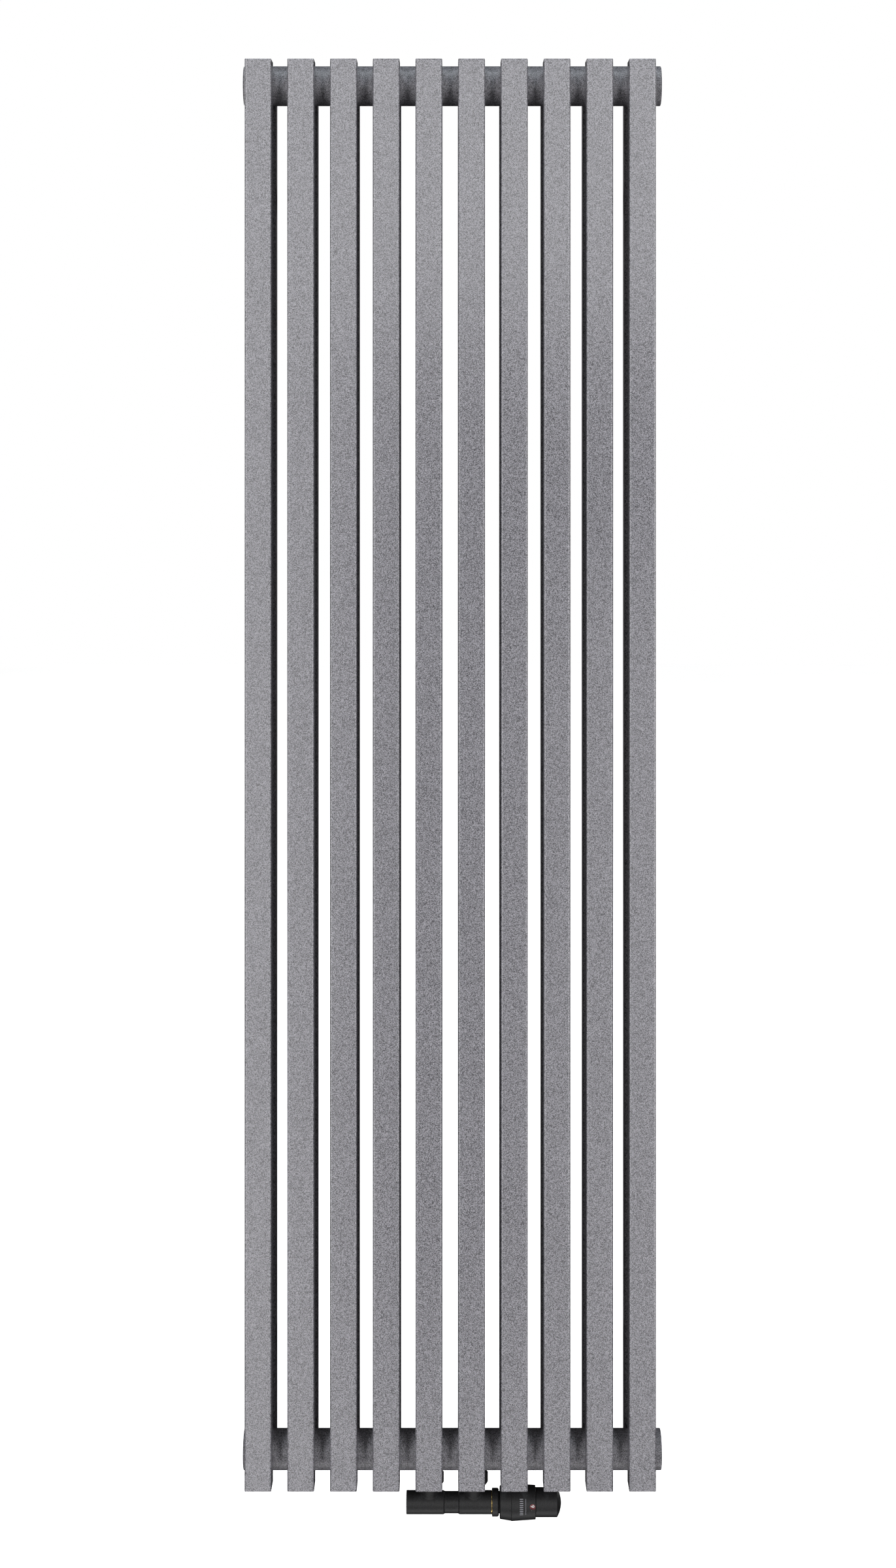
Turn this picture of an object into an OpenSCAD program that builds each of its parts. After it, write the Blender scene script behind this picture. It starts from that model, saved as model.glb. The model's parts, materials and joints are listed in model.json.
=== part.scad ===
// Two-row vertical tube radiator with a thermostatic H-valve.
// Frame: +Z up, the room side faces -Y, the wall is the plane Y = 0.
// The origin is the centre of the four wall fixings, at the tubes' middle height.

/* [Radiator tubes] */
// Height of every tube with its end plates
radiator_h = 1600; // [800:10:2000]
// Number of tubes in each row
tubes_n = 10; // [6:1:16]
// Distance from one tube's centre to the next
tube_pitch = 47.7; // [44:0.1:60]
// Outer width of the square tube
tube_w = 30; // [25:1:32]
// Wall of the square tube
tube_wall = 1.5; // [1.2:0.1:2]
// Outer corner radius of the square tube
tube_corner_r = 2; // [1.6:0.1:3]
// Thickness of a tube's welded end plate
end_plate_t = 2; // [1.5:0.5:4]
// Rounding of the end plate's outer edge
end_edge_r = 1.2; // [0.5:0.1:1.4]

/* [Collectors] */
// Outer diameter of the round collector tube
collector_d = 45; // [40:1:50]
// Wall of the collector tube
collector_wall = 2; // [1.5:0.1:3]
// Distance from the tubes' upper end to the upper collector's axis
upper_inset = 24; // [24:0.1:80]
// Distance from the tubes' lower end to the lower collector's axis
lower_inset = 27.4; // [24:0.1:80]
// How far the collector passes the outer tube on the left
collector_over_left = 4.35; // [2:0.05:12]
// How far the collector passes the outer tube on the right
collector_over_right = 9.25; // [8:0.05:16]
// Water port between a tube and the collector
port_d = 10; // [6:1:14]
// Outer diameter of the weld ring around each port
weld_ring_d = 18; // [14:1:22]
// Gap that the weld fills between tube and collector
weld_gap = 0.2; // [0.1:0.05:0.5]
// Rounding of the collector's end edge
collector_edge_r = 1; // [0.5:0.1:1.5]

/* [Wall brackets] */
// Gap between the rear tubes and the wall
wall_gap = 35; // [33:0.5:45]
// Distance from a tube's end to the nearest wall fixing
fixing_inset = 150; // [100:5:250]
// Which tube from the edge carries the fixings (1 is the second tube)
fixing_tube = 1; // [1:1:3]
// Outer diameter of the wall sleeve
sleeve_d = 22; // [20:1:24]
// Length of the wall sleeve
sleeve_l = 27; // [25:0.5:27]
// Diameter of the spigot that slides in the sleeve
spigot_d = 14; // [12:0.5:14]
// Radius of the wall screw's hole
fixing_hole_r = 3.25; // [2.5:0.05:3.5]

/* [Valve] */
// Distance between the feed and the return
valve_pitch = 50; // [48:0.5:52]
// How far the middle of feed and return lies to the right of the radiator's middle
valve_shift = 1.6; // [0:0.1:2]
// Drop from the lower collector's axis to the valve's axis
valve_drop = 60.4; // [60:0.1:66]
// Diameter of the cylindrical valve body
valve_d = 25.6; // [25:0.1:28]
// Left end of the valve body, from the radiator's middle
valve_left = 49.8; // [49.8:0.1:52]
// Right end of the valve body, from the radiator's middle
valve_right = 46.8; // [46.8:0.1:48]
// Width across the flats of the union nut
nut_af = 28; // [28:0.5:32]
// Height of the union nut
nut_h = 14.4; // [14:0.1:15]
// Travel of the closing disc and of the regulating cone
valve_stroke = 2.2; // [1.5:0.1:2.2]

/* [Thermostatic head] */
// Diameter of the ring nut
ring_nut_d = 30.5; // [28:0.5:32]
// Widest diameter of the shell
shell_d = 39.9; // [38:0.1:41]
// Length of the shell
shell_l = 40.5; // [40.5:0.5:44]
// Diameter of the rotating cap
cap_d = 31.8; // [31:0.1:32.5]
// Length of the rotating cap with its dome
cap_l = 28.9; // [26:0.1:30]
// Height of the cap's dome
dome_h = 4.8; // [3:0.1:6]

/* [Hidden] */
$fn = 64;
eps = 0.01;
running_gap = 0.06;
free_gap = 0.3;

tube_l = radiator_h - 2 * end_plate_t;
tube_in = tube_w - 2 * tube_wall;
rear_y = -wall_gap - tube_w / 2;
collector_y = -wall_gap - tube_w - weld_gap - collector_d / 2;
front_y = collector_y - collector_d / 2 - weld_gap - tube_w / 2;
upper_z = radiator_h / 2 - upper_inset;
lower_z = -radiator_h / 2 + lower_inset;
row_half_w = (tubes_n - 1) * tube_pitch / 2 + tube_w / 2;
collector_left = row_half_w + collector_over_left;
collector_right = row_half_w + collector_over_right;
fixing_h = radiator_h - 2 * fixing_inset;
collector_in_r = collector_d / 2 - collector_wall;
blank_end_t = 2;
threaded_end_t = 9.9;
collector_tube_right = collector_right - threaded_end_t;
plug_bore_r = 9.4;
plug_l = 9;

// Union between collector and valve, as depths below the collector's axis
socket_top = 12;
socket_bottom = 24;
socket_r = 13;
tail_r = 9;
tail_bore_r = 6;
collar_r = 11.8;
nut_top = 24.5;
collar_top = 26.5;
seal_top = 28.5;
stub_top = 29.5;
stub_bottom = 38.4;
stub_r = 12;
neck_r = 10.7;

valve_z = lower_z - valve_drop;
feed_x = valve_shift + valve_pitch / 2;
return_x = valve_shift - valve_pitch / 2;
valve_r = valve_d / 2;
waist_r = valve_r - 0.95;
waist_left = -6.2;
waist_right = 9.1;
waist_slope = 1.5;
chamber_r = 8;
chamber_end = 12;
water_r = 5;
pipe_r = 11;
pipe_reach = 30;
pipe_shoulder_r = 12;
pipe_shoulder_reach = 15.5;

// Inserts: stations along X on the feed side, with the seat at the inner end
insert_r = chamber_r - 0.05;
insert_inner = chamber_end + 0.5;
seat_left = 16;
seat_right = 18;
seat_r = 4;
insert_bore_r = 5.5;
gland_left = valve_right - 10.8;
gland_right = valve_right - 2.8;
groove_w = 6;
groove_depth = 1.8;

// Parts outside the valve body's right end
flange_t = 0.7;
thread_l = 3.4;
thread_r = 11;
nose_l = 4.1;
nose_r = 9;
flange_right = valve_right + flange_t;
thread_right = flange_right + thread_l;
nose_right = thread_right + nose_l;
counterbore_r = 4.2;

// Stem, its collar and the coil spring that opens the valve
stem_r = 1.5;
stem_end = valve_right + 10.2;
disc_left = seat_right + valve_stroke + 0.2;
disc_t = 2;
carrier_t = 1.2;
collar_left = valve_right + 5.2;
collar_t = 1;
stem_collar_r = 3.7;
spring_turns = 4;
spring_r = 3;
spring_wire_r = 0.35;
spring_left = gland_right + valve_stroke + 0.5;
spring_right = collar_left - spring_wire_r;
spring_steps = 14;
spring_sides = 6;

// Lockshield
cone_open = seat_right + valve_stroke + 0.6;
cone_r = 4.6;
cone_tip_r = 2.4;
cone_l = 5;
spindle_r = 3;
spindle_tip_r = 2;
spindle_shoulder = 34;
spindle_end = valve_left - 5;
lockshield_end = valve_left - 6.8;
cover_r = 10;
cover_t = 4;

// Thermostatic head
base_left = thread_right + 0.1;
base_flange_right = base_left + 2.9;
base_flange_r = 12.9;
ring_nut_right = base_left + 4.1;
head_bore_r = 9.5;
barrel_r = 11.9;
shell_left = ring_nut_right + 1.1;
shell_right = shell_left + shell_l;
shell_kink = shell_left + 13.3;
shell_in_r = 15.9;
shell_wall = 2;
barrel_end = shell_right - 6.7;
drum_r = 15.2;
drum_left = shell_right - 18.7;
sleeve_out_r = 13.5;
cap_left = shell_right + free_gap;
cap_right = cap_left + cap_l;
cap_in_r = 13.2;
capsule_r = 9;
capsule_left = shell_right - 16.7;
capsule_l = 28;
push_rod_r = 2;
window_r = 3.4;
window_x = shell_right - 3.7;
window_rise = 5;

grey_paint = [0.56, 0.56, 0.58];
black_paint = [0.12, 0.12, 0.13];
brass_colour = [0.72, 0.56, 0.28];
steel_colour = [0.66, 0.67, 0.69];
rubber_colour = [0.08, 0.08, 0.08];
red_colour = [0.78, 0.08, 0.1];

// ---- shapes used by several pieces ----

// Cylinder along X between two stations
module x_cyl(x0, x1, r)
    translate([x0, 0, 0])
        rotate([0, 90, 0])
            cylinder(h = x1 - x0, r = r);

// Cylinder along Y between two stations
module y_cyl(y0, y1, r)
    translate([0, y1, 0])
        rotate([90, 0, 0])
            cylinder(h = y1 - y0, r = r);

// Solid turned about X from [x, r] points
module x_turned(points)
    rotate([0, 90, 0])
        rotate_extrude()
            polygon([for (p = points) [p[1], p[0]]]);

// Ring around Z that goes down from z0 to z1
module z_ring(z0, z1, r, bore_r)
    translate([0, 0, -z1])
        difference() {
            cylinder(h = z1 - z0, r = r);
            translate([0, 0, -1]) cylinder(h = z1 - z0 + 2, r = bore_r);
        }

// Square with rounded corners
module rounded_square(w, r) {
    square([w, w - 2 * r], center = true);
    square([w - 2 * r, w], center = true);
    for (x = [-1, 1], y = [-1, 1])
        translate([x, y] * (w / 2 - r)) circle(r);
}

function tube_x(i) = (i - (tubes_n + 1) / 2) * tube_pitch;

module at_collector(z) translate([0, collector_y, z]) children();
module at_valve() translate([0, collector_y, valve_z]) children();
module at_unions()
    for (x = [return_x, feed_x])
        translate([x, collector_y, lower_z]) children();
module at_fixings()
    for (i = [1 + fixing_tube, tubes_n - fixing_tube], z = [-1, 1])
        translate([tube_x(i), 0, z * fixing_h / 2]) children();

// ---- radiator tubes ----

// Square tube with a water port at each collector, on the side it faces
module water_tube(i, y, port_side)
    color(grey_paint)
        translate([tube_x(i), y, 0])
            difference() {
                linear_extrude(height = tube_l, center = true)
                    rounded_square(tube_w, tube_corner_r);
                linear_extrude(height = tube_l + 2, center = true)
                    rounded_square(tube_in, tube_corner_r - 1);
                for (z = [lower_z, upper_z])
                    translate([0, port_side * tube_w / 2, z])
                        y_cyl(-tube_wall - 1, tube_wall + 1, port_d / 2);
            }

module front_tube(i) water_tube(i, front_y, 1);
module rear_tube(i) water_tube(i, rear_y, -1);

// Outline of the end plate's edge, with its two outer corners rounded
module end_plate_side() {
    translate([-tube_w / 2, -end_plate_t])
        square([tube_w, end_plate_t - end_edge_r]);
    translate([-tube_w / 2 + end_edge_r, -end_plate_t])
        square([tube_w - 2 * end_edge_r, end_plate_t]);
    for (x = [-1, 1])
        translate([x * (tube_w / 2 - end_edge_r), -end_edge_r]) circle(end_edge_r);
}

// Plate that closes a tube's upper end, with a spigot inside the tube
module end_plate() {
    spigot_w = tube_in - 0.2;
    spigot_l = 4;
    intersection() {
        translate([0, 0, -end_plate_t])
            linear_extrude(height = end_plate_t) rounded_square(tube_w, tube_corner_r);
        rotate([90, 0, 0])
            linear_extrude(height = tube_w + 2, center = true) end_plate_side();
        rotate([90, 0, 90])
            linear_extrude(height = tube_w + 2, center = true) end_plate_side();
    }
    translate([0, 0, -end_plate_t - spigot_l])
        linear_extrude(height = spigot_l + eps) rounded_square(spigot_w, tube_corner_r - 1);
}

module end_plates()
    color(grey_paint)
        for (i = [1:tubes_n], y = [front_y, rear_y])
            translate([tube_x(i), y, radiator_h / 2]) end_plate();

module top_end_plates() end_plates();
module bottom_end_plates() mirror([0, 0, 1]) end_plates();

// ---- collectors ----

module collector_tube()
    difference() {
        x_cyl(-collector_left + blank_end_t, collector_tube_right, collector_d / 2);
        x_cyl(-collector_left, collector_right, collector_in_r);
        for (i = [1:tubes_n])
            translate([tube_x(i), 0, 0]) y_cyl(-collector_d, collector_d, port_d / 2);
    }

module upper_collector() color(grey_paint) at_collector(upper_z) collector_tube();

module lower_collector()
    color(grey_paint)
        difference() {
            at_collector(lower_z) collector_tube();
            at_unions()
                translate([0, 0, -collector_d]) cylinder(h = collector_d, r = socket_r + 0.05);
        }

// Weld metal between each tube's flat side and the round collector
module weld_rings()
    for (i = [1:tubes_n], side = [-1, 1])
        translate([tube_x(i), 0, 0])
            difference() {
                y_cyl(min(side * 18, side * (collector_d / 2 + weld_gap)),
                      max(side * 18, side * (collector_d / 2 + weld_gap)), weld_ring_d / 2);
                x_cyl(-weld_ring_d, weld_ring_d, collector_d / 2, $fn = 360);
                y_cyl(-collector_d, collector_d, port_d / 2);
            }

module upper_weld_rings() color(grey_paint) at_collector(upper_z) weld_rings();
module lower_weld_rings() color(grey_paint) at_collector(lower_z) weld_rings();

// Disc for a collector's end from x = 0 to t, with its outer edge rounded
module end_disc(t)
    rotate([0, 90, 0])
        rotate_extrude() {
            square([collector_d / 2, t - collector_edge_r]);
            square([collector_d / 2 - collector_edge_r, t]);
            translate([collector_d / 2 - collector_edge_r, t - collector_edge_r])
                intersection() {
                    circle(collector_edge_r);
                    square(collector_edge_r);
                }
        }

module collector_blank_ends()
    color(grey_paint)
        for (z = [lower_z, upper_z])
            at_collector(z)
                translate([-collector_left + blank_end_t, 0, 0])
                    mirror([1, 0, 0]) end_disc(blank_end_t);

module collector_threaded_ends()
    color(grey_paint)
        for (z = [lower_z, upper_z])
            at_collector(z)
                difference() {
                    translate([collector_tube_right, 0, 0]) end_disc(threaded_end_t);
                    x_cyl(collector_tube_right - 1, collector_right + 1, plug_bore_r + 0.05);
                }

// Disc that parts the feed from the return inside the lower collector
module flow_divider()
    color(steel_colour)
        at_collector(lower_z) x_cyl(-1, 1, collector_in_r);

module valve_sockets()
    color(grey_paint)
        at_unions() z_ring(socket_top, socket_bottom, socket_r, tail_r + 0.1);

// Plug screwed into a collector's threaded end, with an O-ring groove
module plug_blank() {
    groove_x = collector_right - 7;
    difference() {
        x_cyl(collector_right - plug_l, collector_right - 0.2, plug_bore_r);
        difference() {
            x_cyl(groove_x - 1, groove_x + 1, plug_bore_r + 1);
            x_cyl(groove_x - 2, groove_x + 2, plug_bore_r - 1.4);
        }
    }
}

module hex_socket(x, af, depth)
    translate([x - depth, 0, 0])
        rotate([0, 90, 0])
            cylinder(h = depth + 1, r = af / sqrt(3), $fn = 6);

module vent_plug()
    color(steel_colour)
        at_collector(upper_z)
            difference() {
                plug_blank();
                x_cyl(collector_right - 4.1, collector_right + 1, 4.6);
                x_cyl(collector_right - 7, collector_right, 3.2);
                x_cyl(collector_right - plug_l - 1, collector_right, 1);
            }

// Vent screw with a cone that closes the vent hole and a square head inside the plug
module bleed_screw()
    color(brass_colour)
        at_collector(upper_z) {
            x_turned([
                [collector_right - 6.9, 0], [collector_right - 6.9, 1.5],
                [collector_right - 5.6, 3.1], [collector_right - 4.1, 3.1], [collector_right - 4.1, 0]
            ]);
            translate([collector_right - 4.2, -2, -2]) cube([3.7, 4, 4]);
        }

module blind_plug()
    color(steel_colour)
        at_collector(lower_z)
            difference() {
                plug_blank();
                hex_socket(collector_right, 10, 5);
            }

module plug_seals()
    color(rubber_colour)
        for (z = [lower_z, upper_z])
            at_collector(z)
                translate([collector_right - 7, 0, 0])
                    rotate([0, 90, 0])
                        rotate_extrude() translate([plug_bore_r - 0.65, 0]) circle(r = 0.7, $fn = 24);

// ---- wall brackets ----

// Sleeve on the wall, open towards the room, with the wall screw's hole in its base
module wall_sleeves()
    color(steel_colour)
        at_fixings()
            difference() {
                y_cyl(-sleeve_l, 0, sleeve_d / 2);
                y_cyl(-sleeve_l - 1, -3, spigot_d / 2 + running_gap);
                y_cyl(-4, 1, fixing_hole_r);
                translate([0, -sleeve_l + 5, -sleeve_d / 2 - 1]) cylinder(h = sleeve_d / 2, r = 2.55);
            }

module grub_screws()
    color(steel_colour)
        at_fixings()
            translate([0, -sleeve_l + 5, -sleeve_d / 2 + 0.2])
                difference() {
                    cylinder(h = sleeve_d / 2 - 0.2 - spigot_d / 2 - free_gap, r = 2.5);
                    translate([0, 0, -1]) cylinder(h = 3, r = 1.25 * 2 / sqrt(3), $fn = 6);
                }

module bracket_spigots()
    color(steel_colour)
        at_fixings() {
            y_cyl(-wall_gap, -wall_gap + 1.5, sleeve_d / 2 - 1);
            y_cyl(-wall_gap, -wall_gap + 22, spigot_d / 2);
        }

// ---- valve body and unions ----

module valve_body()
    color(black_paint)
        at_valve()
            difference() {
                union() {
                    x_turned([
                        [-valve_left, 0], [-valve_left, valve_r - 0.4], [-valve_left + 0.4, valve_r],
                        [waist_left - waist_slope, valve_r], [waist_left, waist_r],
                        [waist_right, waist_r], [waist_right + waist_slope, valve_r],
                        [valve_right, valve_r], [valve_right, 0]
                    ]);
                    for (x = [return_x, feed_x])
                        translate([x, 0, 0]) {
                            cylinder(h = valve_drop - stub_top, r = neck_r);
                            translate([0, 0, valve_drop - stub_bottom])
                                cylinder(h = stub_bottom - stub_top, r = stub_r);
                            y_cyl(0, pipe_shoulder_reach, pipe_shoulder_r);
                            y_cyl(0, pipe_reach, pipe_r);
                        }
                }
                x_cyl(-valve_left - 1, -chamber_end, chamber_r);
                x_cyl(chamber_end, valve_right + 1, chamber_r);
                x_cyl(-valve_left - 1, -valve_left + cover_t, cover_r);
                for (x = [return_x, feed_x])
                    translate([x, 0, 0]) {
                        cylinder(h = valve_drop, r = water_r);
                        y_cyl(0, pipe_reach + 1, water_r);
                    }
            }

// Hexagonal nut with turned corners that pulls the tailpiece's collar onto the valve
module union_nuts()
    color(black_paint)
        at_unions()
            difference() {
                intersection() {
                    translate([0, 0, -nut_top - nut_h])
                        cylinder(h = nut_h, r = nut_af / sqrt(3), $fn = 6);
                    rotate_extrude()
                        polygon([
                            [0, -nut_top], [nut_af / 2, -nut_top], [nut_af / 2 + 2.4, -nut_top - 1.2],
                            [nut_af / 2 + 2.4, -nut_top - nut_h + 2.2], [nut_af / 2 - 0.2, -nut_top - nut_h],
                            [0, -nut_top - nut_h]
                        ]);
                }
                translate([0, 0, -nut_top - nut_h - 1])
                    cylinder(h = nut_top + nut_h + 1 - collar_top, r = stub_r + 0.1);
                translate([0, 0, -collar_top - 1]) cylinder(h = 5, r = tail_r + 0.15);
            }

module tailpieces()
    color(brass_colour)
        at_unions() {
            z_ring(socket_top + 2, seal_top, tail_r, tail_bore_r);
            z_ring(collar_top, seal_top, collar_r, tail_bore_r);
        }

module union_seals()
    color(rubber_colour)
        at_unions() z_ring(seal_top, stub_top, collar_r - 0.3, tail_bore_r);

// ---- thermostatic insert ----

// Turned insert whose window meets the riser and whose groove leads the pipe's
// water round to its inner end
module flow_sleeve(outer_points, bore_points, riser_x)
    difference() {
        x_turned(outer_points);
        x_turned(bore_points);
        translate([riser_x, 0, 0]) cylinder(h = valve_r, r = water_r - 0.5);
        translate([0, insert_r - groove_depth, -groove_w / 2])
            cube([riser_x + water_r, groove_depth + 1, groove_w]);
    }

module thermostatic_insert()
    color(brass_colour)
        at_valve()
            difference() {
                flow_sleeve(
                    [
                        [insert_inner, 0], [insert_inner, insert_r], [valve_right, insert_r],
                        [valve_right, valve_r], [flange_right, valve_r], [flange_right, thread_r],
                        [thread_right, thread_r], [thread_right, nose_r],
                        [nose_right, nose_r], [nose_right, 0]
                    ],
                    [
                        [insert_inner - 1, 0], [insert_inner - 1, insert_bore_r],
                        [seat_left, insert_bore_r], [seat_left, seat_r], [seat_right, seat_r],
                        [seat_right, insert_bore_r], [gland_left, insert_bore_r],
                        [gland_left, stem_r + running_gap], [gland_right, stem_r + running_gap],
                        [gland_right, counterbore_r], [stem_end, counterbore_r], [stem_end, 0]
                    ],
                    feed_x);
                x_cyl(gland_left + 3, gland_left + 5.4, 2 * stem_r);
            }

module stem_seal()
    color(rubber_colour)
        at_valve()
            translate([gland_left + 4.2, 0, 0])
                rotate([0, 90, 0])
                    rotate_extrude() translate([stem_r + 0.85, 0]) circle(r = 0.6, $fn = 24);

// Stem with the disc's carrier at one end and the spring's collar near the other
module valve_stem() {
    carrier_left = disc_left + disc_t;
    carrier_right = carrier_left + carrier_t;
    color(steel_colour)
        at_valve()
            x_turned([
                [carrier_left, 0], [carrier_left, 4.8], [carrier_right, 4.8], [carrier_right, stem_r],
                [collar_left, stem_r], [collar_left, stem_collar_r],
                [collar_left + collar_t, stem_collar_r], [collar_left + collar_t, stem_r],
                [stem_end, stem_r], [stem_end, 0]
            ]);
}

module valve_disc()
    color(rubber_colour)
        at_valve() x_cyl(disc_left, disc_left + disc_t, 4.9);

// Point s of the wire's section at step k along the coil
function spring_point(k, s) =
    let (
        turn = 360 * k / spring_steps,
        x = spring_left + (spring_right - spring_left) * k / (spring_turns * spring_steps),
        r = spring_r + spring_wire_r * cos(360 * s / spring_sides)
    )
    [x + spring_wire_r * sin(360 * s / spring_sides), r * cos(turn), r * sin(turn)];

module return_spring() {
    last = spring_turns * spring_steps;
    color(steel_colour)
        at_valve()
            polyhedron(
                points = [for (k = [0:last], s = [0:spring_sides - 1]) spring_point(k, s)],
                faces = concat(
                    [[for (s = [0:spring_sides - 1]) s]],
                    [[for (s = [spring_sides - 1:-1:0]) last * spring_sides + s]],
                    [
                        for (k = [0:last - 1], s = [0:spring_sides - 1])
                            let (a = k * spring_sides + s, b = k * spring_sides + (s + 1) % spring_sides)
                            [a, a + spring_sides, b + spring_sides, b]
                    ]
                ));
}

// ---- lockshield on the return side, drawn on the feed side and mirrored ----

module at_lockshield() at_valve() mirror([1, 0, 0]) children();

module lockshield_insert()
    color(brass_colour)
        at_lockshield()
            flow_sleeve(
                [
                    [insert_inner, 0], [insert_inner, insert_r],
                    [lockshield_end, insert_r], [lockshield_end, 0]
                ],
                [
                    [insert_inner - 1, 0], [insert_inner - 1, insert_bore_r],
                    [seat_left, insert_bore_r], [seat_left, seat_r], [seat_right, seat_r],
                    [seat_right, insert_bore_r], [spindle_shoulder + 2, insert_bore_r],
                    [spindle_shoulder + 2, spindle_r + running_gap],
                    [valve_left, spindle_r + running_gap], [valve_left, 0]
                ],
                -return_x);

// Cone that throttles the return, on the end of the spindle
module regulating_cone()
    color(brass_colour)
        at_lockshield()
            difference() {
                x_turned([
                    [cone_open - 2, 0], [cone_open - 2, cone_tip_r], [cone_open, cone_r],
                    [cone_open + cone_l, cone_r], [cone_open + cone_l, 0]
                ]);
                x_cyl(cone_open + 1, cone_open + cone_l + 1, spindle_tip_r + running_gap);
            }

// Screw turned with a hexagonal key, whose thin end carries the cone
module regulating_spindle()
    color(steel_colour)
        at_lockshield()
            difference() {
                union() {
                    x_cyl(cone_open + 1 + free_gap, spindle_shoulder, spindle_tip_r);
                    x_cyl(spindle_shoulder, spindle_end, spindle_r);
                }
                hex_socket(spindle_end, 3, 3);
            }

module lockshield_cover()
    color(black_paint)
        at_lockshield()
            difference() {
                x_cyl(valve_left - cover_t, valve_left - 0.1, cover_r - 0.05);
                hex_socket(valve_left, 8, 2);
            }

// ---- thermostatic head ----

module ring_nut()
    color(black_paint)
        at_valve()
            difference() {
                x_turned([
                    [flange_right, 0], [flange_right, ring_nut_d / 2 - 0.4],
                    [flange_right + 0.4, ring_nut_d / 2],
                    [ring_nut_right - 1.4, ring_nut_d / 2], [ring_nut_right, ring_nut_d / 2 - 1.2],
                    [ring_nut_right, 0]
                ]);
                x_cyl(valve_right, base_left, thread_r + 0.05);
                x_cyl(base_left, base_flange_right, base_flange_r + 0.1);
                x_cyl(base_left, ring_nut_right + 1, barrel_r + 0.1);
            }

// Carrier clamped by the ring nut: the shell is fixed to it and the cap turns on it
module head_base()
    color(black_paint)
        at_valve()
            difference() {
                x_turned([
                    [base_left, 0], [base_left, base_flange_r],
                    [base_flange_right, base_flange_r], [base_flange_right, barrel_r],
                    [shell_left + shell_wall, barrel_r], [shell_left + shell_wall, shell_in_r - 0.1],
                    [shell_left + 2 * shell_wall, shell_in_r - 0.1],
                    [shell_left + 2 * shell_wall, barrel_r], [barrel_end, barrel_r], [barrel_end, 0]
                ]);
                x_cyl(base_left - 1, barrel_end + 1, head_bore_r);
            }

// Outer surface of the shell: two cones that meet at the widest place
module shell_outside()
    x_turned([
        [shell_left, 0], [shell_left, shell_d / 2 - 2.8], [shell_left + 0.6, shell_d / 2 - 2.2],
        [shell_kink - 0.6, shell_d / 2 - 0.4], [shell_kink, shell_d / 2],
        [shell_right - 0.3, shell_d / 2 - 1.7], [shell_right, shell_d / 2 - 2], [shell_right, 0]
    ]);

// Drop-shaped outline of the setting window, drawn on the room side
module window_shape(r)
    rotate([-window_rise, 0, 0])
        translate([window_x, 0, 0])
            rotate([90, 0, 0])
                linear_extrude(height = shell_d) {
                    circle(r);
                    rotate([0, 0, -90]) square(r);
                }

module head_shell()
    color(black_paint)
        at_valve()
            difference() {
                shell_outside();
                x_cyl(shell_left - 1, shell_right + 1, barrel_r + 0.1);
                x_cyl(shell_left + shell_wall, shell_right + 1, shell_in_r);
                window_shape(window_r);
            }

module setting_window()
    color(red_colour)
        at_valve()
            intersection() {
                difference() {
                    shell_outside();
                    x_cyl(shell_left, shell_right + 1, shell_in_r);
                }
                window_shape(window_r - 0.05);
            }

// Section of the cap, its dome and the sleeve by which it turns on the base
module handle_section() {
    dome_r = (pow(cap_d / 2, 2) + pow(dome_h, 2)) / (2 * dome_h);
    difference() {
        intersection() {
            translate([0, cap_left]) square([cap_d / 2, cap_l]);
            translate([0, cap_right - dome_r]) circle(dome_r, $fn = 128);
        }
        translate([-1, cap_left - 1]) square([cap_in_r + 1, cap_l - dome_h - 1]);
    }
    translate([barrel_r + running_gap, drum_left])
        square([sleeve_out_r - barrel_r - running_gap, cap_left + 3 - drum_left]);
}

module handle_cap()
    color(black_paint)
        at_valve() rotate([0, 90, 0]) rotate_extrude() handle_section();

module number_drum()
    color(red_colour)
        at_valve()
            difference() {
                x_cyl(drum_left, shell_right - 0.2, drum_r);
                x_cyl(drum_left - 1, shell_right, sleeve_out_r + running_gap);
            }

module sensor_capsule()
    color(steel_colour)
        at_valve()
            translate([capsule_left, 0, 0])
                x_turned([
                    [0, 0], [0, capsule_r - 1], [1, capsule_r],
                    [capsule_l - 1, capsule_r], [capsule_l, capsule_r - 1], [capsule_l, 0]
                ]);

module push_rod()
    color(steel_colour)
        at_valve() x_cyl(stem_end, capsule_left, push_rod_r);

// ---- one line per node ----

for (i = [1:tubes_n]) front_tube(i);
for (i = [1:tubes_n]) rear_tube(i);
top_end_plates();
bottom_end_plates();
upper_collector();
lower_collector();
upper_weld_rings();
lower_weld_rings();
collector_blank_ends();
collector_threaded_ends();
flow_divider();
valve_sockets();
vent_plug();
bleed_screw();
blind_plug();
plug_seals();
wall_sleeves();
grub_screws();
bracket_spigots();
valve_body();
union_nuts();
tailpieces();
union_seals();
thermostatic_insert();
stem_seal();
valve_stem();
valve_disc();
return_spring();
lockshield_insert();
regulating_spindle();
regulating_cone();
lockshield_cover();
ring_nut();
head_base();
head_shell();
setting_window();
handle_cap();
number_drum();
sensor_capsule();
push_rod();
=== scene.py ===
"""Looks of the radiator with valve: materials, weld beads, the valve's casting and threads,
the setting window and its numerals, plain studio light and the camera."""

import json
import math

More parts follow.
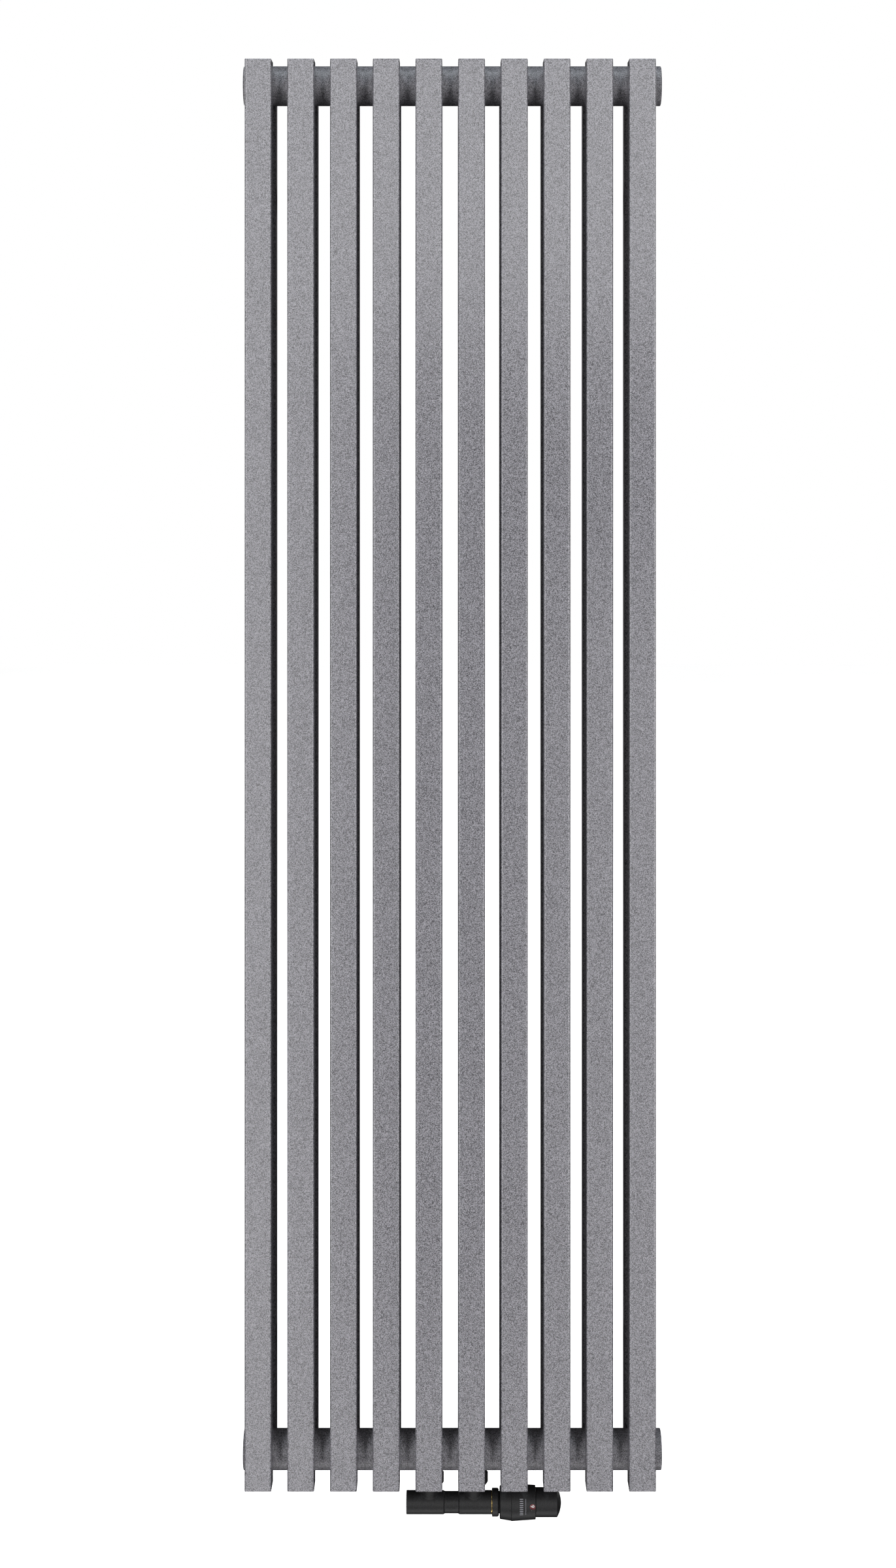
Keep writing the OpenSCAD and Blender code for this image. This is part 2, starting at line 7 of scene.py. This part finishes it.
import bmesh
import bpy
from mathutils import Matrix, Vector


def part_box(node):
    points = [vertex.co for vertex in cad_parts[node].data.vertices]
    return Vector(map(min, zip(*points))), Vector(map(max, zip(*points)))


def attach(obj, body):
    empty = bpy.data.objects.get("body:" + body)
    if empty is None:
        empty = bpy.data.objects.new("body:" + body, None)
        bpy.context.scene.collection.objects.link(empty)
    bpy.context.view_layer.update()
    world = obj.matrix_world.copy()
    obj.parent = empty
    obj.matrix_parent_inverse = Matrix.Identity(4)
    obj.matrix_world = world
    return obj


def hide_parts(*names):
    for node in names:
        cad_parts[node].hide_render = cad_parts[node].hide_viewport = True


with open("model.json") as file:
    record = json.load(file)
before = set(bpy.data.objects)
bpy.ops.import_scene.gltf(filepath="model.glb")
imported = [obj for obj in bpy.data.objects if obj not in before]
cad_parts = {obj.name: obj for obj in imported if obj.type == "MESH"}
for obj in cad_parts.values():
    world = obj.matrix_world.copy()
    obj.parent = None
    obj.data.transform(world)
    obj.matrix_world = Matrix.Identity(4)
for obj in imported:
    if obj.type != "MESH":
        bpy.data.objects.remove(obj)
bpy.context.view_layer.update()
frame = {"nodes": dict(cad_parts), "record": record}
NODES = frame["nodes"]
MM = 0.001


# ---- places, read from the frame ----

def centre_of(node):
    low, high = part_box(node)
    return (low + high) / 2


def size_of(node):
    low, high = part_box(node)
    return high - low


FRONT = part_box("front_tube_1")[0].y
TUBE_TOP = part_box("top_end_plates")[1].z
TUBE_XS = [centre_of(n).x for n in NODES if n.startswith("front_tube_")]
COLLECTOR_Y = centre_of("upper_collector").y
COLLECTOR_R = size_of("upper_collector").z / 2
VALVE_Z = centre_of("head_shell").z
VALVE_R = size_of("thermostatic_insert").z / 2


# ---- meshes ----

def add_object(name, data):
    """A new object in the scene."""
    made = bpy.data.objects.new(name, data)
    bpy.context.scene.collection.objects.link(made)
    return made


def add_piece(name, mesh, material, body, smooth=True):
    """The mesh as a piece in the row frame that rides on a body."""
    mesh.polygons.foreach_set("use_smooth", [smooth] * len(mesh.polygons))
    mesh.materials.append(material)
    piece = add_object(name, mesh)
    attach(piece, body)
    return piece


def new_piece(name, verts, faces, material, body, smooth=True):
    """A piece from its vertices, in the row frame, and its faces."""
    mesh = bpy.data.meshes.new(name)
    mesh.from_pydata([tuple(v) for v in verts], [], faces)
    mesh.validate()
    return add_piece(name, mesh, material, body, smooth)


def grid_faces(rows, columns, close_rows=False, close_columns=False, start=0):
    """Quads of a grid of vertices that is stored row by row."""
    faces = []
    for i in range(rows if close_rows else rows - 1):
        for j in range(columns if close_columns else columns - 1):
            a = start + i * columns + j
            b = start + i * columns + (j + 1) % columns
            c = start + ((i + 1) % rows) * columns + (j + 1) % columns
            d = start + ((i + 1) % rows) * columns + j
            faces.append((a, b, c, d))
    return faces


def add_modifier(piece, kind, **settings):
    modifier = piece.modifiers.new(kind.title(), kind)
    for key, value in settings.items():
        setattr(modifier, key, value)


def apply_modifiers(piece):
    """Turns the piece's modified shape into its mesh."""
    graph = bpy.context.evaluated_depsgraph_get()
    mesh = bpy.data.meshes.new_from_object(piece.evaluated_get(graph), depsgraph=graph)
    piece.modifiers.clear()
    piece.data = mesh


# ---- materials ----

class Nodes:
    """A material's node tree, with the row frame's coordinates in metres at hand."""

    def __init__(self, name, **principled):
        self.material = bpy.data.materials.new(name)
        self.material.use_nodes = True
        self.tree = self.material.node_tree
        self.shader = self.tree.nodes["Principled BSDF"]
        for socket, value in principled.items():
            self.shader.inputs[socket.replace("_", " ")].default_value = value
        self.place = self.tree.nodes.new("ShaderNodeTexCoord").outputs["Object"]

    def feed(self, socket, source):
        """Links an input to another node's output, or sets its value."""
        if isinstance(source, bpy.types.NodeSocket):
            self.tree.links.new(source, socket)
        else:
            socket.default_value = source

    def add(self, kind, links=(), **settings):
        """A node with its settings, and its inputs by name."""
        node = self.tree.nodes.new(kind)
        for key, value in settings.items():
            setattr(node, key, value)
        for socket, source in dict(links).items():
            self.feed(node.inputs[socket], source)
        return node

    def cells(self, size):
        """A random grey for each cell of about that size."""
        voronoi = self.add("ShaderNodeTexVoronoi", {"Vector": self.place, "Scale": 1 / size})
        return self.add("ShaderNodeRGBToBW", {"Color": voronoi.outputs["Color"]}).outputs[0]

    def clouds(self, size, detail=3):
        """Soft noise with features of about that size."""
        noise = self.add("ShaderNodeTexNoise",
                         {"Vector": self.place, "Scale": 1 / size, "Detail": detail})
        return noise.outputs["Fac"]

    def ramp(self, factor, *stops):
        """Colours by factor, from (position, colour) stops."""
        node = self.add("ShaderNodeValToRGB", {"Fac": factor})
        elements = node.color_ramp.elements
        while len(elements) < len(stops):
            elements.new(0.5)
        for element, (position, colour) in zip(elements, stops):
            element.position = position
            element.color = (*colour, 1)
        return node.outputs["Color"]

    def span(self, value, low, high, start=0.0, end=1.0):
        """value from start..end taken to low..high."""
        return self.add("ShaderNodeMapRange", {"Value": value, "From Min": start, "From Max": end,
                                               "To Min": low, "To Max": high}).outputs[0]

    def blend(self, mode, factor, a, b):
        """Two colours mixed; 0, 6, 7 and 2 are the mix node's sockets for colours."""
        node = self.add("ShaderNodeMix", data_type="RGBA", blend_type=mode)
        for socket, source in ((0, factor), (6, a), (7, b)):
            self.feed(node.inputs[socket], source)
        return node.outputs[2]

    def colour(self, source):
        self.tree.links.new(source, self.shader.inputs["Base Color"])

    def rough(self, source):
        self.tree.links.new(source, self.shader.inputs["Roughness"])

    def bump(self, height, depth, strength=1.0, edge=0.0):
        """Relief of that depth in metres, with edges rounded by the radius edge."""
        links = {"Height": height, "Distance": depth, "Strength": strength}
        if edge:
            links["Normal"] = self.add("ShaderNodeBevel", {"Radius": edge}, samples=4).outputs[0]
        node = self.add("ShaderNodeBump", links)
        self.tree.links.new(node.outputs[0], self.shader.inputs["Normal"])


def scaled(colour, factor):
    return tuple(c * factor for c in colour)


def structured_paint(name, colour, grain, contrast, edge=0.0, **principled):
    """Fine structured powder coat: a random shade for each grain, and slow drifts over it."""
    n = Nodes(name, **principled)
    cells = n.cells(grain)
    speckle = n.ramp(cells, (0.2, scaled(colour, 1 - contrast)), (0.8, scaled(colour, 1 + contrast)))
    drift = n.ramp(n.clouds(0.09), (0.3, (0.985,) * 3), (0.7, (1.015,) * 3))
    n.colour(n.blend("MULTIPLY", 1.0, speckle, drift))
    rough = principled["Roughness"]
    n.rough(n.span(cells, rough - 0.03, rough + 0.05))
    n.bump(n.clouds(grain * 1.4, 1), grain * 0.02, edge=edge)
    return n.material


def turned_metal(name, colour, roughness, edge=0.0002):
    """Machined metal with a fine grain, faint stains and a soft edge."""
    n = Nodes(name, Metallic=1.0, Roughness=roughness)
    stains = n.clouds(0.006)
    n.colour(n.ramp(stains, (0.3, scaled(colour, 0.8)), (0.7, colour)))
    n.rough(n.span(stains, roughness + 0.12, roughness - 0.05))
    n.bump(n.clouds(0.0006, 2), 0.00002, 0.5, edge=edge)
    return n.material


def soft_rubber(name):
    """Black rubber with a little dust."""
    n = Nodes(name, Roughness=0.8)
    dust = n.clouds(0.002)
    n.colour(n.ramp(dust, (0.3, (0.012, 0.012, 0.012)), (0.75, (0.03, 0.03, 0.03))))
    n.bump(dust, 0.00003)
    return n.material


def satin_plastic(name, colour, roughness=0.45):
    """Smooth plastic or print with a faint grain."""
    n = Nodes(name, Roughness=roughness)
    grain = n.clouds(0.0005)
    n.colour(n.ramp(grain, (0.3, scaled(colour, 0.88)), (0.7, colour)))
    n.rough(n.span(grain, roughness - 0.05, roughness + 0.1))
    n.bump(grain, 0.00002)
    return n.material


def clear_plastic(name):
    """A thin clear pane that mostly shows its gloss."""
    n = Nodes(name, Roughness=0.04, Alpha=0.05)
    haze = n.clouds(0.003)
    n.colour(n.ramp(haze, (0.3, (0.3, 0.3, 0.3)), (0.7, (0.4, 0.4, 0.4))))
    n.material.surface_render_method = "BLENDED"
    return n.material


GREY, BLACK = (0.235, 0.228, 0.249), (0.0135, 0.0133, 0.0142)
GREY_GRAIN, BLACK_GRAIN, SOFT_EDGE = 0.8 * MM, 0.7 * MM, 0.4 * MM

tube_paint = structured_paint("tube_paint", GREY, GREY_GRAIN, 0.62, Roughness=0.16,
                              Specular_IOR_Level=1.0)
# painted shade: the same grey darkened to 0.86, for the collectors and rear tubes that lie in the
# shade between the tube rows
collector_paint = structured_paint("collector_paint", scaled(GREY, 0.86), GREY_GRAIN, 0.62,
                                   Roughness=0.45, Specular_IOR_Level=0.4)
valve_paint = structured_paint("valve_paint", BLACK, BLACK_GRAIN, 0.45, SOFT_EDGE, Roughness=0.5,
                               Specular_IOR_Level=0.3)
head_plastic = structured_paint("head_plastic", BLACK, BLACK_GRAIN, 0.4, SOFT_EDGE, Roughness=0.5,
                                Specular_IOR_Level=0.3)
brass = turned_metal("brass", (0.80, 0.56, 0.20), 0.28)
steel = turned_metal("steel", (0.60, 0.61, 0.63), 0.32)
rubber = soft_rubber("rubber")
drum_red = satin_plastic("drum_red", (0.24, 0.008, 0.016))
white_print = satin_plastic("white_print", (0.86, 0.86, 0.86), 0.5)
grey_print = satin_plastic("grey_print", (0.27, 0.27, 0.30), 0.5)
window_clear = clear_plastic("window_clear")

MATERIAL_OF_SLOT = {
    "tube_paint": tube_paint, "valve_paint": valve_paint, "head_plastic": head_plastic,
    "brass": brass, "steel": steel, "rubber": rubber, "drum_plastic": drum_red,
    "window": window_clear,
}
for part in frame["record"]["subparts"]:
    cad = NODES[part["node"]]
    cad.data.materials.clear()
    cad.data.materials.append(MATERIAL_OF_SLOT[part["material_slot"]])
# the round collectors and the rear tubes get the same paint, rougher and in a darker grey: painted
# shade for where they sit between the rows of tubes
for node in [n for n in NODES if "collector" in n or n.startswith("rear_tube_")]:
    NODES[node].data.materials[0] = collector_paint


# ---- weld beads between tubes and collectors ----

def weld_beads(node, name):
    """A rippled fillet around every port, from the tube's flat side to the round collector."""
    axis = centre_of(node)
    steps, profile, ripples = 72, 5, 26
    waist_r, flare, ripple_height = 8.4 * MM, 1.1 * MM, 0.12 * MM
    on_tube = size_of(node).y / 2
    verts, faces = [], []
    for x in TUBE_XS:
        for side in (-1, 1):
            start = len(verts)
            for i in range(steps):
                turn = 2 * math.pi * i / steps
                ripple = ripple_height * abs(math.sin(ripples * turn / 2))
                for j in range(profile):
                    share = j / (profile - 1)
                    off_middle = abs(2 * share - 1)
                    r = waist_r + flare * off_middle ** 2 + ripple * (1 - off_middle)
                    dx, dz = r * math.cos(turn), r * math.sin(turn)
                    on_collector = math.sqrt(COLLECTOR_R ** 2 - dz ** 2)
                    y = on_collector + (on_tube - on_collector) * share
                    verts.append((x + dx, axis.y + side * y, axis.z + dz))
            faces += grid_faces(steps, profile, close_rows=True, start=start)
    beads = new_piece(name, verts, faces, tube_paint, "radiator")
    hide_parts(node)


weld_beads("upper_weld_rings", "upper_weld_beads")
weld_beads("lower_weld_rings", "lower_weld_beads")


# ---- valve body: a casting with soft inner corners, and cut threads on its pipe ends ----

PIPE_XS = sorted(m["pos_m"][0] for m in frame["record"]["mounts"] if m["kind"] == "pin")
BODY_LOW, BODY_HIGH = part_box("valve_body")
SHOULDER_Y = COLLECTOR_Y + 15.5 * MM  # the casting ends here and the threads begin
PIPE_END_Y = BODY_HIGH.y
PIPE_R = 11 * MM


def lathe(points, to_place, steps=96):
    """Closed solid turned about a line: points are (along, radius), and to_place puts
    (along, across, up) in the row frame."""
    verts = []
    for along, radius in points:
        for i in range(steps):
            turn = 2 * math.pi * i / steps
            verts.append(to_place(along, radius * math.cos(turn), radius * math.sin(turn)))
    faces = grid_faces(len(points), steps, close_columns=True)
    faces.append(tuple(range(steps)))
    faces.append(tuple(reversed(range(len(verts) - steps, len(verts)))))
    return verts, faces


def join_parts(parts):
    """One list of vertices and one of faces."""
    verts, faces = [], []
    for part_verts, part_faces in parts:
        start = len(verts)
        verts += part_verts
        faces += [tuple(start + i for i in f) for f in part_faces]
    return verts, faces


def valve_casting():
    """The body's cylinder with its waist and its recess on the left, two risers and two stubs
    towards the wall, melted into one skin."""
    left, right = BODY_LOW.x, BODY_HIGH.x
    centre_r, left_chamfer, right_chamfer = 0.3 * MM, 0.3 * MM, 0.1 * MM
    recess_r, recess_end = 10.15 * MM, left + 4 * MM
    waist_r, waist_slope = VALVE_R - 0.95 * MM, 1.5 * MM
    waist_left, waist_right = -6.2 * MM, 9.1 * MM
    body = [(recess_end, centre_r), (recess_end, recess_r), (left, recess_r),
            (left, VALVE_R - left_chamfer), (left + left_chamfer, VALVE_R),
            (waist_left - waist_slope, VALVE_R), (waist_left, waist_r),
            (waist_right, waist_r), (waist_right + waist_slope, VALVE_R),
            (right - right_chamfer, VALVE_R), (right, VALVE_R - right_chamfer), (right, centre_r)]
    parts = [lathe(body, lambda a, b, c: (a, COLLECTOR_Y + b, VALVE_Z + c))]
    riser_r, head_r, stub_r = 10.7 * MM, 12 * MM, 12 * MM
    riser_top = BODY_HIGH.z - VALVE_Z
    head_bottom = riser_top - 8.9 * MM
    for x in PIPE_XS:
        riser = [(0, riser_r), (head_bottom, riser_r), (head_bottom, head_r), (riser_top, head_r)]
        parts.append(lathe(riser, lambda a, b, c: (x + b, COLLECTOR_Y + c, VALVE_Z + a)))
        stub = [(0, stub_r), (SHOULDER_Y - COLLECTOR_Y, stub_r)]
        parts.append(lathe(stub, lambda a, b, c: (x - b, COLLECTOR_Y + a, VALVE_Z + c)))
    verts, faces = join_parts(parts)
    casting = new_piece("valve_casting", verts, faces, valve_paint, "radiator")
    add_modifier(casting, "REMESH", mode="VOXEL", voxel_size=0.45 * MM, use_smooth_shade=True)
    add_modifier(casting, "SMOOTH", factor=0.5, iterations=4)
    apply_modifiers(casting)
    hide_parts("valve_body")


def pipe_thread(x, name):
    """Tube end with a 1.5 mm pitch thread outside and the waterway inside."""
    pitch, depth, bore_r = 1.5 * MM, 0.9 * MM, 5 * MM
    steps, per_pitch = 64, 8
    length = PIPE_END_Y - SHOULDER_Y
    rows = int(length / pitch * per_pitch)
    verts = []

    def add_vertex(along, radius, j):
        turn = 2 * math.pi * j / steps
        verts.append((x + radius * math.cos(turn), SHOULDER_Y + along,
                      VALVE_Z + radius * math.sin(turn)))

    for i in range(rows + 1):
        along = length * i / rows
        full_depth = min(1, along / (2 * pitch), (length - along) / pitch)
        for j in range(steps):
            flank = abs(2 * ((along / pitch - j / steps) % 1) - 1)
            add_vertex(along, PIPE_R - depth * (flank * full_depth + (1 - full_depth)), j)
    for along in (length, 0):
        for j in range(steps):
            add_vertex(along, bore_r, j)
    faces = grid_faces(rows + 3, steps, close_columns=True)
    thread = new_piece(name, verts, faces, brass, "radiator", smooth=False)


valve_casting()
pipe_thread(PIPE_XS[0], "return_pipe_thread")
pipe_thread(PIPE_XS[1], "feed_pipe_thread")


# ---- flat shapes wrapped round the head ----

def wrapped(name, outlines, radius_at, x_centre, angle, material, body):
    """Polygons in a plane (across = up the front, along = towards +X), cut fine and wrapped
    round the head's axis. angle is the height of their middle above the front, in degrees."""
    bm = bmesh.new()
    for outline in outlines:
        bm.faces.new([bm.verts.new((a, b, 0)) for a, b in outline])
    return wrap_bmesh(name, bm, radius_at, x_centre, angle, material, body)


def wrap_bmesh(name, bm, radius_at, x_centre, angle, material, body):
    """As wrapped(), from a flat bmesh whose x is up the front and whose y is towards +X."""
    step = 0.4 * MM
    for axis, normal in enumerate(((1, 0, 0), (0, 1, 0))):
        values = [v.co[axis] for v in bm.verts]
        cut = math.floor(min(values) / step) * step
        while cut < max(values):
            bmesh.ops.bisect_plane(bm, geom=bm.verts[:] + bm.edges[:] + bm.faces[:],
                                   plane_co=[cut * c for c in normal], plane_no=normal, dist=1e-7)
            cut += step
    for v in bm.verts:
        up, along = v.co.x, v.co.y
        x = x_centre + along
        radius = radius_at(x)
        turn = math.radians(angle) + up / radius
        v.co = (x, COLLECTOR_Y - radius * math.cos(turn), VALVE_Z + radius * math.sin(turn))
    mesh = bpy.data.meshes.new(name)
    bm.to_mesh(mesh)
    bm.free()
    return add_piece(name, mesh, material, body)


SHELL_LOW, SHELL_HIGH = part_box("head_shell")
WINDOW_X = centre_of("setting_window").x
WINDOW_R = 3.4 * MM
WINDOW_ANGLE = 5  # degrees above the front
DRUM_R = size_of("number_drum").z / 2


def shell_radius(x):
    """Radius of the shell's right-hand cone at x."""
    widest_x, widest_r = SHELL_LOW.x + 13.3 * MM, size_of("head_shell").z / 2
    cone_end, narrowing = SHELL_HIGH.x - 0.3 * MM, 1.7 * MM
    return widest_r - narrowing * (x - widest_x) / (cone_end - widest_x)


def drop_outline(radius, steps=40):
    """Three quarters of a circle with one square corner, which points down and to the right."""
    turns = [math.pi * (1 + 1.5 * i / steps) for i in range(steps + 1)]
    return [(radius * math.cos(t), radius * math.sin(t)) for t in turns] + [(-radius, radius)]


def numeral(text):
    """Flat bmesh of a numeral, centred, that reads upwards along the front."""
    height, size_for_height = 4.4 * MM, 1.38
    curve = bpy.data.curves.new("numeral_curve", "FONT")
    curve.body = text
    curve.size = height * size_for_height
    curve.offset = 0.15 * MM
    curve.align_x = "CENTER"
    curve.resolution_u = 6
    holder = add_object("numeral_holder", curve)
    graph = bpy.context.evaluated_depsgraph_get()
    mesh = bpy.data.meshes.new_from_object(holder.evaluated_get(graph), depsgraph=graph)
    bpy.data.objects.remove(holder)
    bpy.data.curves.remove(curve)
    bm = bmesh.new()
    bm.from_mesh(mesh)
    bpy.data.meshes.remove(mesh)
    ys = [v.co.y for v in bm.verts]
    middle = (min(ys) + max(ys)) / 2
    for v in bm.verts:
        v.co = (v.co.x, -(v.co.y - middle), 0)
    return bm


def dial_numerals():
    """0 to 6 round the drum: each comes to the window as the cap turns towards shut."""
    step_angle, highest, print_t = 50, 6, 0.05 * MM
    for value in range(highest + 1):
        angle = WINDOW_ANGLE - (highest - value) * step_angle
        piece = wrap_bmesh(f"numeral_{value}", numeral(str(value)), lambda x: DRUM_R + print_t,
                           WINDOW_X, angle, white_print, "handle")


def window_lens():
    """The clear pane, a hair smaller than its opening and a hair below the shell's surface."""
    fit, sunk, lens_x = 0.985, 0.05 * MM, WINDOW_X - 0.15 * MM
    outline = [(a * fit, b * fit) for a, b in drop_outline(WINDOW_R)]
    lens = wrapped("window_lens", [outline], lambda x: shell_radius(x) - sunk, lens_x,
                   WINDOW_ANGLE, window_clear, "radiator")
    add_modifier(lens, "SOLIDIFY", thickness=1.2 * MM, offset=-1.0)
    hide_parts("setting_window")


def plain_mark():
    """A plain printed scale in place of a name: a column of short strokes beside a thin line."""
    strokes, pitch, strokes_x, line_x = 9, 2.2 * MM, 80.5 * MM, 85.4 * MM
    print_t = 0.03 * MM

    def surface(x):
        return shell_radius(x) + print_t

    def bar(up, half_up, half_along):
        return [(up - half_up, -half_along), (up + half_up, -half_along),
                (up + half_up, half_along), (up - half_up, half_along)]

    middle = (strokes - 1) / 2
    column = [bar((i - middle) * pitch, 0.5 * MM, 1.9 * MM) for i in range(strokes)]
    line = [bar(0, 9 * MM, 0.2 * MM)]
    wrapped("scale_strokes", column, surface, strokes_x, WINDOW_ANGLE, grey_print, "radiator")
    wrapped("scale_line", line, surface, line_x, WINDOW_ANGLE, grey_print, "radiator")


dial_numerals()
window_lens()
plain_mark()


# ---- studio ----

def surroundings():
    """White all round to the eye, while the object itself is lit by the softboxes alone."""
    world = bpy.data.worlds.new("studio")
    world.use_nodes = True
    tree = world.node_tree
    backdrop = tree.nodes["Background"]
    backdrop.inputs["Color"].default_value = (1, 1, 1, 1)
    dark = tree.nodes.new("ShaderNodeBackground")
    dark.inputs["Color"].default_value = (0, 0, 0, 1)
    seen = tree.nodes.new("ShaderNodeLightPath").outputs["Is Camera Ray"]
    mix = tree.nodes.new("ShaderNodeMixShader")
    for socket, source in enumerate((seen, dark.outputs[0], backdrop.outputs[0])):
        tree.links.new(source, mix.inputs[socket])
    tree.links.new(mix.outputs[0], tree.nodes["World Output"].inputs["Surface"])
    bpy.context.scene.world = world


def studio_floor():
    """Pale floor that neither shades nor lights the object."""
    pale = Nodes("pale_floor", Roughness=0.9, Emission_Strength=1.0)
    tone = pale.ramp(pale.clouds(0.8), (0.3, (0.97,) * 3), (0.7, (0.99,) * 3))
    pale.colour(tone)
    pale.tree.links.new(tone, pale.shader.inputs["Emission Color"])
    half, drop = 12.0, 0.12
    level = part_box("head_shell")[0].z - drop
    mesh = bpy.data.meshes.new("floor")
    mesh.from_pydata([(-half, -half, level), (half, -half, level), (half, half, level),
                      (-half, half, level)], [], [(0, 1, 2, 3)])
    mesh.materials.append(pale.material)
    floor = add_object("floor", mesh)
    floor.visible_diffuse = floor.visible_glossy = floor.visible_shadow = False


def softbox(name, place, target, width, height, brightness, colour=(1, 1, 1)):
    """A panel that looks equally bright at any size. Blender wants its power."""
    light = bpy.data.lights.new(name, "AREA")
    light.shape = "RECTANGLE"
    light.color = colour
    light.size, light.size_y = width, height
    light.energy = math.pi * width * height * brightness
    holder = add_object(name, light)
    holder.location = place
    holder.rotation_euler = (Vector(target) - Vector(place)).to_track_quat("-Z", "Y").to_euler()
    holder.visible_camera = False


def softboxes():
    """Pairs of panels on the left and right: tall ones ahead, narrow steep ones above and below,
    weak ones beside and behind. Dim strips ahead only show as the sheen on the tubes."""
    ahead, top, low = -6.0, (0, -0.1, 0.8), (0, -0.1, -0.8)
    sky = (0.88, 0.96, 1.0)

    def facing_back(name, x, z, width, height, brightness):
        softbox(name, (x, ahead, z), (x, 0, z), width, height, brightness)

    for side, name in ((-1, "left"), (1, "right")):
        facing_back(f"front_{name}", 2.3 * side, 0, 1.25, 6.0, 7.0)
        softbox(f"above_{name}", (0.85 * side, -1.8, 4.9), top, 0.35, 2.5, 25, sky)
        softbox(f"below_{name}", (0.85 * side, -1.8, -4.9), low, 0.35, 2.5, 14)
        softbox(f"beside_{name}", (5.0 * side, 0, 0.6), (0, 0, 0), 2.5, 3.0, 1.0)
        softbox(f"behind_{name}", (3.6 * side, 3.6, 0.6), (0, 0, 0), 2.5, 3.0, 2.5)
    facing_back("sheen_above", 0, 1.46, 2.2, 1.52, 1.6)
    facing_back("sheen_left", -0.76, -1.35, 0.7, 4.3, 1.6)
    facing_back("sheen_right", 0.7, -1.8, 0.7, 3.4, 0.85)
    facing_back("sheen_low", 0, -3.25, 2.2, 0.9, 0.75)


def camera():
    """Level camera on the room side, a little left of the middle, with the frame shifted down."""
    left_of_middle, distance, below_top = 2.5 * MM, 2.884, 416 * MM
    data = bpy.data.cameras.new("camera")
    data.sensor_width = 36
    data.lens = 59.33
    data.shift_y = -0.225
    data.clip_start, data.clip_end = 0.05, 100
    holder = add_object("camera", data)
    holder.location = (-left_of_middle, FRONT - distance, TUBE_TOP - below_top)
    holder.rotation_euler = (math.pi / 2, 0, 0)
    bpy.context.scene.camera = holder


surroundings()
studio_floor()
softboxes()
camera()
bpy.context.scene.view_settings.view_transform = "Standard"
bpy.context.scene.cycles.denoising_prefilter = "NONE"
